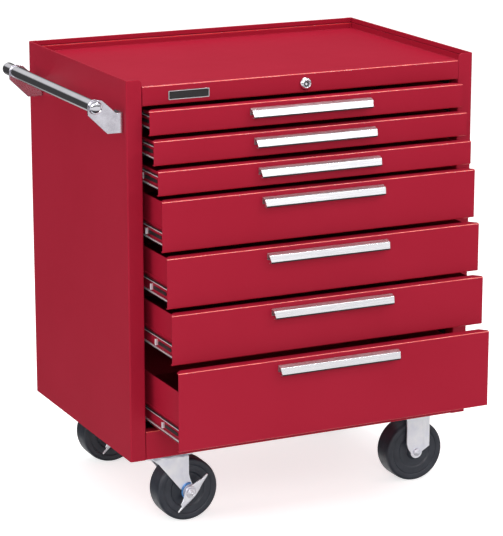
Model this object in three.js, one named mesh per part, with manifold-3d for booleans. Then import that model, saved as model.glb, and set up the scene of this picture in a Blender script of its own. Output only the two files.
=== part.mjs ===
// Seven-drawer rolling tool chest: sheet-metal carcass, ball-slide drawers, key lock with a
// locking bar, side push handle, two braked swivel casters and two rigid casters.
// Millimetres, +Z up, drawers open towards -Y. The chest is drawn about its own centre line and
// then moved so that the origin is under the middle of the whole object as it stands at rest.

import * as THREE from 'three';
import { mergeVertices } from 'three/addons/utils/BufferGeometryUtils.js';
import Module from 'manifold-3d';

const wasm = await Module();
wasm.setup();

// ---------- driving dimensions ----------

const WIDTH = 736;
const DEPTH = 508;
const TOP = 889;
const BASE = 151;
const SHEET = 1.5;
const GAP = 0.3;

const POST_WIDTH = 32;
const JAMB_DEPTH = 26;
const BACK_FLANGE = 16;
const HEM_HEIGHT = 9;
const POST_SHOULDER = 23;

const HEADER_TOP = 876;
const HEADER_BOTTOM = 838.5;
const HEADER_RETURN = 16;
const RAIL_TOP = 208;
const PAN_FLANGE = 26;
const TRAY_FLOOR = 866;
const TRAY_EDGE = 878;

const FACE_WIDTH = 664;
const FACE_TOP = 833;
const FACE_GAP = 7.2;
const FACE_RETURN = 20;
const DRAWERS = [
  { height: 46, out: 25, wallDrop: 6, slideRise: 22 },
  { height: 46, out: 43, wallDrop: 6, slideRise: 22 },
  { height: 46, out: 62, wallDrop: 6, slideRise: 22 },
  { height: 96, out: 79, wallDrop: 6, slideRise: 22 },
  { height: 96, out: 99, wallDrop: 6, slideRise: 22 },
  { height: 96, out: 119, wallDrop: 6, slideRise: 22 },
  { height: 152.8, out: 147, wallDrop: 45, slideRise: 26 },
];
const BOX_HALF = 320;
const BOX_BACK = 200;
const BOX_FLOOR_RISE = 5;

const CHANNEL_HALF = 15;
const CHANNEL_DEPTH = 10.5;
const CHANNEL_FRONT = 232;
const CHANNEL_BACK = 205;
const LINER_BACK = 215;
const MEMBER_HALF = 12.6;
const MEMBER_DEPTH = 8;
const MEMBER_FRONT = 240;
const MEMBER_BACK = 195;

const PULL_WIDTH = 256;
const PULL_REACH = 16;
const PULL_DROP = 9;
const PULL_LIP = 15;
const PULL_WALL = 2;
const PULL_SHOULDER = 11;
const PULL_FALL = 4;

const LOCK_Z = 856;
const LOCK_RING = 12.5;
const LOCK_BARREL = 8;
const LOCK_PLUG = 5.8;
const LOCK_PROUD = 8;
const CAM_HUB = 6.5;
const CAM_THROW = 10;
const CAM_PIN = 2;
const BAR_LUG_REACH = 18;
const CATCH_REACH = 26;

const BADGE_X = -242;
const BADGE_Z = 855.5;
const BADGE_WIDTH = 83;
const BADGE_HEIGHT = 17;

const GRIP_RADIUS = 12.5;
const GRIP_OFFSET = 56;
const GRIP_Z = 842;
const GRIP_START = -246;
const GRIP_END = 222;
const BRACKET_FRONT = -239;
const BRACKET_REAR = 178;
const BRACKET_SHEET = 3;
const BRACKET_BASE_LOW = 790;
const BRACKET_BASE_HIGH = 828;
const BRACKET_HEAD = 14;
const BRACKET_FOOT = 31;
const BRACKET_EYE = 15;
const BRACKET_FLANGE = 36;

const WHEEL_RADIUS = 63.5;
const WHEEL_WIDTH = 48;
const WHEEL_SIDES = 32;
const AXLE_RADIUS = 5;
const PLATE_X = 104;
const PLATE_Y = 92;
const PLATE_THICK = 4;
const SWIVEL_X = -278;
const SWIVEL_Y = 194;
const SWIVEL_TRAIL = 45;
const RIGID_X = 281;
const RIGID_Y = 182;
const LEG_INNER = 28;
const LEG_SHEET = 3;
const LEVER_TILT = 43;

const HALF_WIDTH = WIDTH / 2;
const HALF_DEPTH = DEPTH / 2;
const OPENING_HALF = HALF_WIDTH - POST_WIDTH;
const GRIP_X = -HALF_WIDTH - GRIP_OFFSET;
const FRONT_AT_REST = HALF_DEPTH + DRAWERS[DRAWERS.length - 1].out + GAP + PULL_REACH;
const SHIFT_X = (GRIP_OFFSET + BRACKET_EYE) / 2;
const SHIFT_Y = (FRONT_AT_REST - HALF_DEPTH) / 2;

// ---------- materials ----------

function finish(color, roughness, metalness) {
  return () => new THREE.MeshStandardMaterial({ color, roughness, metalness });
}

const redPaint = finish(0xa8202f, 0.35, 0.1);
const chrome = finish(0xd8dade, 0.08, 1);
const aluminium = finish(0xd5d6da, 0.25, 1);
const zinc = finish(0xc9ccd4, 0.3, 1);
const blackSteel = finish(0x2a2a2c, 0.5, 0.6);
const wheelCompound = finish(0x303138, 0.55, 0);
const badgeBlack = finish(0x161616, 0.25, 0);

// ---------- solids ----------

// Corners are snapped to a thousandth of a millimetre, so that faces meant to meet do meet.
function toSolid(geometry) {
  geometry.deleteAttribute('normal');
  geometry.deleteAttribute('uv');
  const corners = geometry.attributes.position.array;
  corners.forEach((value, index) => {
    corners[index] = Math.round(value * 1000) / 1000;
  });
  const merged = mergeVertices(geometry, 1e-4);
  return new wasm.Manifold(new wasm.Mesh({
    numProp: 3,
    vertProperties: new Float32Array(merged.attributes.position.array),
    triVerts: new Uint32Array(merged.index.array),
  }));
}

function toMesh(name, solid, material) {
  const data = solid.getMesh();
  const geometry = new THREE.BufferGeometry();
  geometry.setAttribute('position', new THREE.BufferAttribute(data.vertProperties, 3));
  geometry.setIndex(new THREE.BufferAttribute(data.triVerts, 1));
  geometry.computeVertexNormals();
  const mesh = new THREE.Mesh(geometry, material());
  mesh.name = name;
  return mesh;
}

function joined(solids) {
  return solids.reduce((whole, next) => whole.add(next));
}

function without(solid, cutters) {
  return cutters.reduce((whole, next) => whole.subtract(next), solid);
}

// A box from its lowest to its highest corner.
function block(x0, x1, y0, y1, z0, z1) {
  const geometry = new THREE.BoxGeometry(x1 - x0, y1 - y0, z1 - z0);
  geometry.translate((x0 + x1) / 2, (y0 + y1) / 2, (z0 + z1) / 2);
  return toSolid(geometry);
}

// An outline in the X-Z plane, made solid from y0 to y1.
function plateXZ(shape, y0, y1) {
  const geometry = new THREE.ExtrudeGeometry(shape, {
    depth: y1 - y0, bevelEnabled: false, curveSegments: 8,
  });
  geometry.rotateX(Math.PI / 2);
  geometry.translate(0, y1, 0);
  return toSolid(geometry);
}

// An outline in the Y-Z plane, made solid from x0 to x1.
function plateYZ(shape, x0, x1) {
  const geometry = new THREE.ExtrudeGeometry(shape, {
    depth: x1 - x0, bevelEnabled: false, curveSegments: 8,
  });
  const turn = new THREE.Matrix4().makeBasis(
    new THREE.Vector3(0, 1, 0), new THREE.Vector3(0, 0, 1), new THREE.Vector3(1, 0, 0));
  geometry.applyMatrix4(turn);
  geometry.translate(x0, 0, 0);
  return toSolid(geometry);
}

// A round body about an axis along Y: profile points are [radius, y], closed on themselves
// or starting and ending on the axis.
function roundY(profile, sides, x, z) {
  const points = profile.map(([radius, y]) => new THREE.Vector2(radius, y));
  const geometry = new THREE.LatheGeometry(points, sides, Math.PI / sides);
  geometry.translate(x, 0, z);
  return toSolid(geometry);
}

function rodY(radius, y0, y1, x, z, sides) {
  return roundY([[0, y0], [radius, y0], [radius, y1], [0, y1]], sides, x, z);
}

// A round body about a vertical axis.
function rodZ(radius, z0, z1, x, y, sides) {
  const geometry = new THREE.CylinderGeometry(radius, radius, z1 - z0, sides);
  geometry.rotateX(Math.PI / 2);
  geometry.translate(x, y, (z0 + z1) / 2);
  return toSolid(geometry);
}

function polygon(points) {
  return new THREE.Shape(points.map(([u, v]) => new THREE.Vector2(u, v)));
}

function mirroredX(solid) {
  return solid.mirror([1, 0, 0]);
}

const chest = new THREE.Group();
chest.position.set(SHIFT_X, SHIFT_Y, 0);

function place(name, solid, material) {
  chest.add(toMesh(name, solid, material));
}

// ---------- carcass ----------

// The side panel is one sheet: outer wall with a hemmed top, front post, jamb return and
// back flange. The post's top corner is rounded down to the header.
function sidePanel() {
  const outer = -HALF_WIDTH;
  const inner = outer + SHEET;
  const postEnd = -OPENING_HALF;
  const wall = block(outer, inner, -HALF_DEPTH, HALF_DEPTH, BASE, TOP);
  const hem = block(outer, inner + SHEET, -HALF_DEPTH, HALF_DEPTH, TOP - HEM_HEIGHT, TOP);
  const round = TOP - HEADER_TOP;
  const post = new THREE.Shape();
  post.moveTo(outer, BASE);
  post.lineTo(postEnd, BASE);
  post.lineTo(postEnd, HEADER_TOP);
  post.lineTo(outer + POST_SHOULDER + round, HEADER_TOP);
  post.absarc(outer + POST_SHOULDER, TOP - round, round, 0, Math.PI / 2, false);
  post.lineTo(outer, TOP);
  post.closePath();
  const face = plateXZ(post, -HALF_DEPTH, -HALF_DEPTH + SHEET);
  const jamb = block(postEnd - SHEET, postEnd, -HALF_DEPTH, -HALF_DEPTH + JAMB_DEPTH,
    RAIL_TOP, HEADER_BOTTOM);
  const back = block(outer, outer + BACK_FLANGE, HALF_DEPTH - SHEET, HALF_DEPTH, BASE, TOP);
  return joined([wall, hem, face, jamb, back]);
}

place('left_side_panel', sidePanel(), redPaint);
place('right_side_panel', mirroredX(sidePanel()), redPaint);

const INSIDE_HALF = HALF_WIDTH - SHEET - GAP;
const BACK_OUTER = HALF_DEPTH - SHEET - GAP;
const HEM_CLEAR = INSIDE_HALF - SHEET;

function backPanel() {
  const sheet = block(-INSIDE_HALF, INSIDE_HALF, BACK_OUTER - SHEET, BACK_OUTER,
    BASE + SHEET + GAP, TOP - HEM_HEIGHT - GAP);
  const upper = block(-HEM_CLEAR, HEM_CLEAR, BACK_OUTER - SHEET, BACK_OUTER,
    TOP - HEM_HEIGHT - 1, TOP);
  const hem = block(-HEM_CLEAR, HEM_CLEAR, BACK_OUTER - 2 * SHEET, BACK_OUTER,
    TOP - HEM_HEIGHT, TOP);
  return joined([sheet, upper, hem]);
}

place('back_panel', backPanel(), redPaint);

const BACK_INNER = BACK_OUTER - 2 * SHEET - GAP;
const FRONT_INNER = -HALF_DEPTH + SHEET + GAP;

// A shallow pan: floor with its four edges turned up, the front one to its own height.
function pan(halfX, y0, y1, floorLow, edgeTop, frontTop) {
  const over = 1;
  return without(block(-halfX, halfX, y0, y1, floorLow, edgeTop), [
    block(-halfX + SHEET, halfX - SHEET, y0 + SHEET, y1 - SHEET, floorLow + SHEET,
      edgeTop + over),
    block(-halfX - over, halfX + over, y0 - over, y0 + SHEET, frontTop, edgeTop + over),
  ]);
}

place('top_tray', pan(INSIDE_HALF, FRONT_INNER, BACK_INNER, TRAY_FLOOR - SHEET, TRAY_EDGE,
  HEADER_TOP - SHEET - GAP), redPaint);

const HEADER_HALF = OPENING_HALF - GAP;

function headerRail() {
  const outline = new THREE.Shape();
  const front = -HALF_DEPTH;
  const rear = front + HEADER_RETURN;
  const bend = 3;
  outline.moveTo(front, HEADER_BOTTOM);
  outline.lineTo(rear, HEADER_BOTTOM);
  outline.lineTo(rear, HEADER_BOTTOM + SHEET);
  outline.lineTo(front + SHEET, HEADER_BOTTOM + SHEET);
  outline.lineTo(front + SHEET, HEADER_TOP - SHEET);
  outline.lineTo(rear, HEADER_TOP - SHEET);
  outline.lineTo(rear, HEADER_TOP);
  outline.lineTo(front + bend, HEADER_TOP);
  outline.absarc(front + bend, HEADER_TOP - bend, bend, Math.PI / 2, Math.PI, false);
  outline.closePath();
  const rail = plateYZ(outline, -HEADER_HALF, HEADER_HALF);
  const lockHole = rodY(LOCK_BARREL + GAP, front - 5, front + SHEET + 5, 0, LOCK_Z, 20);
  return rail.subtract(lockHole);
}

place('header_rail', headerRail(), redPaint);

// The bottom pan carries the front rail under the lowest drawer.
function bottomPan() {
  const rearEdge = BACK_OUTER - SHEET - GAP;
  const floor = pan(INSIDE_HALF, FRONT_INNER, rearEdge, BASE, BASE + PAN_FLANGE,
    BASE + PAN_FLANGE);
  const rail = block(-HEADER_HALF, HEADER_HALF, -HALF_DEPTH, -HALF_DEPTH + 2 * SHEET, BASE,
    RAIL_TOP);
  const lip = block(-HEADER_HALF, HEADER_HALF, -HALF_DEPTH, -HALF_DEPTH + 20,
    RAIL_TOP - SHEET, RAIL_TOP);
  return joined([floor, rail, lip]);
}

place('bottom_pan', bottomPan(), redPaint);

// ---------- drawers and their slides ----------

const LEVELS = [];
let faceTop = FACE_TOP;
for (const drawer of DRAWERS) {
  const bottom = faceTop - drawer.height;
  LEVELS.push({ ...drawer, top: faceTop, bottom, slideZ: bottom + drawer.slideRise });
  faceTop = bottom - FACE_GAP;
}

const CHANNEL_WEB = BOX_HALF + GAP + 12.5;

// The liner stands on a foot inside the side panel and carries one cabinet-side channel per
// drawer.
function slideLiner() {
  const webInner = CHANNEL_WEB - SHEET;
  const flangeInner = CHANNEL_WEB - CHANNEL_DEPTH;
  const sheet = block(webInner, CHANNEL_WEB, -HALF_DEPTH + JAMB_DEPTH + 3, LINER_BACK,
    BASE + PAN_FLANGE + 3, HEADER_BOTTOM - 3);
  const channels = LEVELS.flatMap(({ slideZ }) => [
    block(webInner, CHANNEL_WEB, -CHANNEL_FRONT, CHANNEL_BACK,
      slideZ - CHANNEL_HALF, slideZ + CHANNEL_HALF),
    block(flangeInner, CHANNEL_WEB, -CHANNEL_FRONT, CHANNEL_BACK,
      slideZ + CHANNEL_HALF - SHEET, slideZ + CHANNEL_HALF),
    block(flangeInner, CHANNEL_WEB, -CHANNEL_FRONT, CHANNEL_BACK,
      slideZ - CHANNEL_HALF, slideZ - CHANNEL_HALF + SHEET),
  ]);
  const foot = block(webInner, INSIDE_HALF - SHEET - GAP, LINER_BACK - SHEET, LINER_BACK,
    BASE + PAN_FLANGE + 3, HEADER_BOTTOM - 3);
  return joined([sheet, ...channels, foot]);
}

place('right_slide_liner', slideLiner(), blackSteel);
place('left_slide_liner', mirroredX(slideLiner()), blackSteel);

// The box is one welded piece: formed front, floor, two sides, back and the rear catch that
// the locking bar's lug drops in front of.
function drawerBox(level) {
  const halfFace = FACE_WIDTH / 2;
  const front = -HALF_DEPTH;
  const floorLow = level.bottom + BOX_FLOOR_RISE;
  const wallTop = level.top - level.wallDrop;
  const catchFloor = level.slideZ - 6;
  const catchEnd = BOX_BACK + CATCH_REACH;
  return joined([
    block(-halfFace, halfFace, front, front + SHEET, level.bottom, level.top),
    block(-halfFace, halfFace, front, front + FACE_RETURN, level.top - SHEET, level.top),
    block(-halfFace, halfFace, front, front + FACE_RETURN, level.bottom, level.bottom + SHEET),
    block(-BOX_HALF, BOX_HALF, front, BOX_BACK, floorLow, floorLow + SHEET),
    block(-BOX_HALF, -BOX_HALF + SHEET, front, BOX_BACK, floorLow, wallTop),
    block(BOX_HALF - SHEET, BOX_HALF, front, BOX_BACK, floorLow, wallTop),
    block(-BOX_HALF, BOX_HALF, BOX_BACK - SHEET, BOX_BACK, floorLow, wallTop),
    block(-12, 12, BOX_BACK - SHEET, catchEnd, catchFloor - SHEET, catchFloor),
    block(-12, 12, catchEnd - SHEET, catchEnd, catchFloor - SHEET, catchFloor + 8),
  ]);
}

// Hooked pull: a leaf on the drawer front, a flange that runs out and down, and a lip that
// slants outward in front of the finger gap.
function drawerPull(level) {
  const top = level.top - PULL_DROP;
  const back = -HALF_DEPTH - GAP;
  const shoulder = back - PULL_SHOULDER;
  const nose = back - PULL_REACH;
  const bend = top - PULL_FALL;
  const lipEnd = bend - PULL_LIP;
  const outline = new THREE.Shape();
  outline.moveTo(back, top);
  outline.lineTo(shoulder + 1.6, bend + 0.6);
  outline.quadraticCurveTo(shoulder, bend, shoulder - 0.8, bend - 1.8);
  outline.lineTo(nose, lipEnd + 1.5);
  outline.quadraticCurveTo(nose, lipEnd, nose + 1.5, lipEnd);
  outline.lineTo(nose + 2.6, lipEnd + 1.2);
  outline.lineTo(shoulder + PULL_WALL, bend - PULL_WALL);
  outline.lineTo(back - PULL_WALL, top - PULL_WALL - 0.8);
  outline.lineTo(back - PULL_WALL, top - 14);
  outline.lineTo(back, top - 14);
  outline.closePath();
  return plateYZ(outline, -PULL_WIDTH / 2, PULL_WIDTH / 2);
}

// The drawer-side slide member: a channel that opens away from the drawer, with a stop
// bridge behind its front stretch.
function drawerMember(level) {
  const web = BOX_HALF + GAP;
  const rim = web + MEMBER_DEPTH;
  const low = level.slideZ - MEMBER_HALF;
  const high = level.slideZ + MEMBER_HALF;
  const stop = -MEMBER_FRONT + 66;
  return joined([
    block(web, web + SHEET, -MEMBER_FRONT, MEMBER_BACK, low, high),
    block(web, rim, -MEMBER_FRONT, MEMBER_BACK, high - SHEET, high),
    block(web, rim, -MEMBER_FRONT, MEMBER_BACK, low, low + SHEET),
    block(web, rim - 2, stop, stop + 3, low, high),
  ]);
}

LEVELS.forEach((level, index) => {
  const name = `drawer_${index + 1}`;
  const group = new THREE.Group();
  group.position.set(0, -level.out, 0);
  group.add(toMesh(`${name}_box`, drawerBox(level), redPaint));
  group.add(toMesh(`${name}_pull`, drawerPull(level), aluminium));
  group.add(toMesh(`${name}_slide_right`, drawerMember(level), zinc));
  group.add(toMesh(`${name}_slide_left`, mirroredX(drawerMember(level)), zinc));
  chest.add(group);
});

// ---------- lock and badge ----------

const LOCK_FRONT = -HALF_DEPTH - LOCK_PROUD;
const LOCK_BACK = -HALF_DEPTH + 17;

function lockBody() {
  const bore = LOCK_PLUG + GAP;
  const ringBack = -HALF_DEPTH - GAP;
  return roundY([
    [bore, LOCK_FRONT + 1.5], [bore + 1.5, LOCK_FRONT], [LOCK_RING - 2, LOCK_FRONT],
    [LOCK_RING, LOCK_FRONT + 2], [LOCK_RING, ringBack], [LOCK_BARREL, ringBack],
    [LOCK_BARREL, LOCK_BACK], [bore, LOCK_BACK], [bore, LOCK_FRONT + 1.5],
  ], 28, 0, LOCK_Z);
}

// The plug has a ring groove for a tubular key, and its rear disc carries the drive pin.
function lockPlug() {
  const face = LOCK_FRONT + 2;
  const discFront = LOCK_BACK + GAP;
  const discBack = discFront + 2.5;
  const plug = roundY([
    [0, face], [2.6, face], [2.6, face + 4], [4.3, face + 4], [4.3, face], [LOCK_PLUG, face],
    [LOCK_PLUG, discFront], [CAM_HUB, discFront], [CAM_HUB, discBack], [0, discBack],
  ], 24, 0, LOCK_Z);
  const arm = block(0, CAM_THROW, discFront, discBack, LOCK_Z - 4, LOCK_Z + 4);
  const armEnd = rodY(4, discFront, discBack, CAM_THROW, LOCK_Z, 12);
  const pin = rodY(CAM_PIN, discBack - 1, discBack + 8, CAM_THROW, LOCK_Z, 12);
  const keyNotch = block(-1, 1, face - 1, face + 2, LOCK_Z + 2, LOCK_Z + 5.2);
  return without(joined([plug, arm, armEnd, pin]), [keyNotch]);
}

const YOKE_FRONT = LOCK_BACK + GAP + 4;
const YOKE_LOW = LOCK_Z - 13;
const BAR_FRONT = 232;

// Yoke plate behind the lock, arm under the tray, and an upright behind the drawers with a
// lug over each drawer's catch.
function lockBar() {
  const yoke = block(-14, 20, YOKE_FRONT, YOKE_FRONT + 2, YOKE_LOW, LOCK_Z + 6.8);
  const slot = block(-3, CAM_THROW + 3, YOKE_FRONT - 1, YOKE_FRONT + 3, LOCK_Z - 4.4,
    LOCK_Z + 4.4);
  const arm = block(-8, 8, YOKE_FRONT + 2 - GAP, BAR_FRONT + 4, YOKE_LOW, YOKE_LOW + 4);
  const lowest = LEVELS[LEVELS.length - 1].slideZ - 10;
  const upright = block(-8, 8, BAR_FRONT, BAR_FRONT + 4, lowest, YOKE_LOW + 4);
  const lugs = LEVELS.flatMap(({ slideZ }) => {
    const tip = slideZ + 6;
    const tipFront = BAR_FRONT - BAR_LUG_REACH;
    return [
      block(-8, 8, tipFront, BAR_FRONT + 1, tip + 4, tip + 7),
      block(-8, 8, tipFront, tipFront + 3, tip, tip + 7),
    ];
  });
  return joined([without(yoke, [slot]), arm, upright, ...lugs]);
}

place('lock_body', lockBody(), chrome);
place('lock_plug', lockPlug(), chrome);
place('lock_bar', lockBar(), blackSteel);
place('badge_plate', block(BADGE_X - BADGE_WIDTH / 2, BADGE_X + BADGE_WIDTH / 2,
  -HALF_DEPTH - GAP - 1.2, -HALF_DEPTH - GAP, BADGE_Z - BADGE_HEIGHT / 2,
  BADGE_Z + BADGE_HEIGHT / 2), badgeBlack);

// ---------- push handle ----------

function gripBar() {
  const dome = 3;
  return roundY([
    [0, GRIP_START], [GRIP_RADIUS - dome, GRIP_START], [GRIP_RADIUS, GRIP_START + dome],
    [GRIP_RADIUS, GRIP_END - dome], [GRIP_RADIUS - dome, GRIP_END], [0, GRIP_END],
  ], 24, GRIP_X, GRIP_Z);
}

// Upright plate that leans out from the side panel to an eye round the bar, with its flange
// bent back along the panel.
function gripBracket(y) {
  const panel = -HALF_WIDTH - GAP;
  const outline = new THREE.Shape();
  outline.moveTo(panel, BRACKET_BASE_LOW);
  outline.lineTo(panel, BRACKET_BASE_HIGH);
  outline.lineTo(panel - BRACKET_HEAD, BRACKET_BASE_HIGH);
  outline.lineTo(GRIP_X + BRACKET_EYE, GRIP_Z + 11);
  outline.absarc(GRIP_X, GRIP_Z, BRACKET_EYE, Math.PI * 0.42, Math.PI * 1.03, false);
  outline.lineTo(GRIP_X - 13.5, GRIP_Z - BRACKET_EYE);
  outline.lineTo(panel - BRACKET_FOOT, BRACKET_BASE_LOW);
  outline.closePath();
  const plate = plateXZ(outline, y, y + BRACKET_SHEET);
  const eye = rodY(GRIP_RADIUS + GAP, y - 5, y + BRACKET_SHEET + 5, GRIP_X, GRIP_Z, 24);
  const flange = block(panel - BRACKET_SHEET, panel, y, y + BRACKET_FLANGE,
    BRACKET_BASE_LOW, BRACKET_BASE_HIGH);
  return joined([without(plate, [eye]), flange]);
}

place('handle_bar', gripBar(), chrome);
place('handle_bracket_front', gripBracket(BRACKET_FRONT), chrome);
place('handle_bracket_rear', gripBracket(BRACKET_REAR), chrome);

// ---------- casters ----------

const PLATE_TOP = BASE - GAP;
const PLATE_LOW = PLATE_TOP - PLATE_THICK;
const RACE_LOW = PLATE_LOW - 7;
const CROWN_TOP = RACE_LOW - GAP;
const CROWN_LOW = CROWN_TOP - 4;
const LEG_OUTER = LEG_INNER + LEG_SHEET;
const AXLE_HOLE = AXLE_RADIUS + GAP;

// Solid moulded wheel with stepped rings on both faces. The flats of the many-sided rim are at
// the wheel's true radius.
function wheel(x, y) {
  const scale = 1 / Math.cos(Math.PI / WHEEL_SIDES);
  const half = WHEEL_WIDTH / 2;
  const hub = half + 2.5;
  const rightSide = [
    [AXLE_HOLE, hub], [17, hub], [19, half - 5], [34, half - 5], [37, half - 1.5],
    [51, half - 0.5], [58, half], [WHEEL_RADIUS - 1.5, half - 3], [WHEEL_RADIUS, half - 8],
  ];
  const leftSide = rightSide.map(([radius, side]) => [radius, -side]);
  const loop = [...leftSide, ...rightSide.slice().reverse(), leftSide[0]];
  const profile = loop.map(([radius, side]) => [radius * scale, side + y]);
  return roundY(profile, WHEEL_SIDES, x, WHEEL_RADIUS);
}

// An axle bolt with a round head at the far side and a nut at the front.
function axle(x, y, front, rear) {
  return roundY([
    [0, y - front - 5], [7.5, y - front - 5], [7.5, y - front], [AXLE_RADIUS, y - front],
    [AXLE_RADIUS, y + rear], [8, y + rear], [8, y + rear + 4], [0, y + rear + 4],
  ], 12, x, WHEEL_RADIUS);
}

function legPair(outline, x, y) {
  const hole = rodY(AXLE_HOLE, y - LEG_OUTER - 5, y + LEG_OUTER + 5, x, WHEEL_RADIUS, 16);
  const legs = [
    plateXZ(outline, y - LEG_OUTER, y - LEG_INNER),
    plateXZ(outline, y + LEG_INNER, y + LEG_OUTER),
  ];
  return legs.map((leg) => without(leg, [hole]));
}

function swivelPlate(y) {
  const x = SWIVEL_X;
  return joined([
    block(x - PLATE_X / 2, x + PLATE_X / 2, y - PLATE_Y / 2, y + PLATE_Y / 2, PLATE_LOW,
      PLATE_TOP),
    rodZ(32, RACE_LOW, PLATE_LOW + 1, x, y, 28),
  ]);
}

function swivelFork(y) {
  const x = SWIVEL_X;
  const axleX = x + SWIVEL_TRAIL;
  const leg = new THREE.Shape();
  leg.moveTo(x - 33, CROWN_TOP);
  leg.lineTo(x - 22, CROWN_TOP - 8);
  leg.lineTo(axleX - 16, WHEEL_RADIUS + 2);
  leg.absarc(axleX, WHEEL_RADIUS, 14, Math.PI, Math.PI * 2, false);
  leg.lineTo(axleX + 9, WHEEL_RADIUS + 20);
  leg.lineTo(x + 45, CROWN_TOP - 16);
  leg.lineTo(x + 44, CROWN_TOP);
  leg.closePath();
  const crown = joined([
    rodZ(35, CROWN_LOW, CROWN_TOP, x, y, 28),
    block(x - 26, x + 44, y - LEG_OUTER, y + LEG_OUTER, CROWN_LOW, CROWN_TOP),
  ]);
  return joined([crown, ...legPair(leg, axleX, y)]);
}

function rigidFork(y) {
  const x = RIGID_X;
  const left = x - 22;
  const right = x + 30;
  const leg = new THREE.Shape();
  leg.moveTo(left - 6, PLATE_TOP);
  leg.quadraticCurveTo(left, PLATE_LOW - 5, left, PLATE_LOW - 14);
  leg.lineTo(left, WHEEL_RADIUS + 14);
  leg.lineTo(x - 12, WHEEL_RADIUS - 5);
  leg.absarc(x, WHEEL_RADIUS, 13, Math.PI * 1.14, Math.PI * 1.86, false);
  leg.lineTo(right, WHEEL_RADIUS + 10);
  leg.lineTo(right, PLATE_TOP);
  leg.closePath();
  const plate = block(x - PLATE_X / 2, x + PLATE_X / 2, y - PLATE_Y / 2, y + PLATE_Y / 2,
    PLATE_LOW, PLATE_TOP);
  return joined([plate, ...legPair(leg, x, y)]);
}

// Foot brake: a boss round the axle with a tapered wing each way, in front of the fork's leg.
function brakeLever(x, y) {
  const front = y - LEG_OUTER - 8;
  const rear = y - LEG_OUTER - 1;
  const wings = polygon([
    [-46.5, -11], [-46, -8.5], [-33, -7.5], [-32, -3.5], [-19, 1], [-10, 8], [0, 13],
    [15, 6], [30, 2.5], [33, 0.5], [46, 0.4], [48.5, -1], [47, -3], [34, -6], [22, -9],
    [14, -12], [0, -14.5], [-14, -14], [-24, -12.7],
  ]);
  const plate = plateXZ(wings, front + 1, rear)
    .rotate([0, -LEVER_TILT, 0])
    .translate([x, 0, WHEEL_RADIUS]);
  const boss = rodY(15, front, rear, x, WHEEL_RADIUS, 20);
  const hole = rodY(AXLE_HOLE, front - 5, rear + 5, x, WHEEL_RADIUS, 16);
  return without(joined([plate, boss]), [hole]);
}

for (const [end, side] of [['front', -1], ['rear', 1]]) {
  const swivelY = side * SWIVEL_Y;
  const rigidY = side * RIGID_Y;
  const axleX = SWIVEL_X + SWIVEL_TRAIL;
  place(`swivel_plate_${end}`, swivelPlate(swivelY), zinc);
  place(`swivel_fork_${end}`, swivelFork(swivelY), zinc);
  place(`swivel_axle_${end}`, axle(axleX, swivelY, LEG_OUTER + 8.5, LEG_OUTER + 0.5), zinc);
  place(`swivel_wheel_${end}`, wheel(axleX, swivelY), wheelCompound);
  place(`brake_lever_${end}`, brakeLever(axleX, swivelY), zinc);
  place(`rigid_fork_${end}`, rigidFork(rigidY), zinc);
  place(`rigid_axle_${end}`, axle(RIGID_X, rigidY, LEG_OUTER + 0.5, LEG_OUTER + 0.5), zinc);
  place(`rigid_wheel_${end}`, wheel(RIGID_X, rigidY), wheelCompound);
}

export default chest;
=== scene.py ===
import math

import bmesh
import bpy
from mathutils import Matrix, Vector


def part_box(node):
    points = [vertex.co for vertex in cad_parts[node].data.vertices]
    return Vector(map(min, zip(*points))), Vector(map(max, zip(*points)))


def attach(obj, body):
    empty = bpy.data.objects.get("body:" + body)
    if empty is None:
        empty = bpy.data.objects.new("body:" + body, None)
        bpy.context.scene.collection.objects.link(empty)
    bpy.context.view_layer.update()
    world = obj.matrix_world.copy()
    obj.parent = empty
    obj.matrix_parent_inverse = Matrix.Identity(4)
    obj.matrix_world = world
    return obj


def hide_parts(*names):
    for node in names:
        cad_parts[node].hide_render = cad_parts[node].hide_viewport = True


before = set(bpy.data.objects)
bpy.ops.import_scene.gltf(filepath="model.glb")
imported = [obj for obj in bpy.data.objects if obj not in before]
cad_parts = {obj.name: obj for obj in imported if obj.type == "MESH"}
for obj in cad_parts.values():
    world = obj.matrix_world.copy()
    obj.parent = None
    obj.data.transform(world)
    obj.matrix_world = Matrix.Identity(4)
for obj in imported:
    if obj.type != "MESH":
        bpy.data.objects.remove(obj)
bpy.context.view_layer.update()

# ---------- units and places ----------

# Shapes are drawn in millimetres about the cabinet's own centre line, with z = 0 on the floor.
MM = 0.001
left_lo, left_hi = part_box("left_side_panel")
_, right_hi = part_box("right_side_panel")
CENTRE = Vector(((left_lo.x + right_hi.x) / 2, (left_lo.y + left_hi.y) / 2, 0))


def where(node):
    """A CAD node's lowest and highest corners, in millimetres about the cabinet's centre line."""
    low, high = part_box(node)
    return (low - CENTRE) / MM, (high - CENTRE) / MM


def middle(node):
    low, high = where(node)
    return (low + high) / 2


def half_size(node):
    low, high = where(node)
    return (high - low) / 2


def axis_of(node):
    """The point at y = 0 on the line along Y through a node's middle."""
    x, _, z = middle(node)
    return x, 0, z


# ---------- materials ----------


def new_material(name):
    material = bpy.data.materials.new(name)
    material.use_nodes = True
    return material, material.node_tree, material.node_tree.nodes["Principled BSDF"]


def noise(tree, scale, detail, stretch=(1, 1, 1)):
    """A noise pattern fixed to the piece: scale is in cycles per metre."""
    coords = tree.nodes.new("ShaderNodeTexCoord")
    mapping = tree.nodes.new("ShaderNodeMapping")
    mapping.inputs["Scale"].default_value = stretch
    texture = tree.nodes.new("ShaderNodeTexNoise")
    texture.inputs["Scale"].default_value = scale
    texture.inputs["Detail"].default_value = detail
    tree.links.new(coords.outputs["Object"], mapping.inputs["Vector"])
    tree.links.new(mapping.outputs["Vector"], texture.inputs["Vector"])
    return texture.outputs["Fac"]


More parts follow.
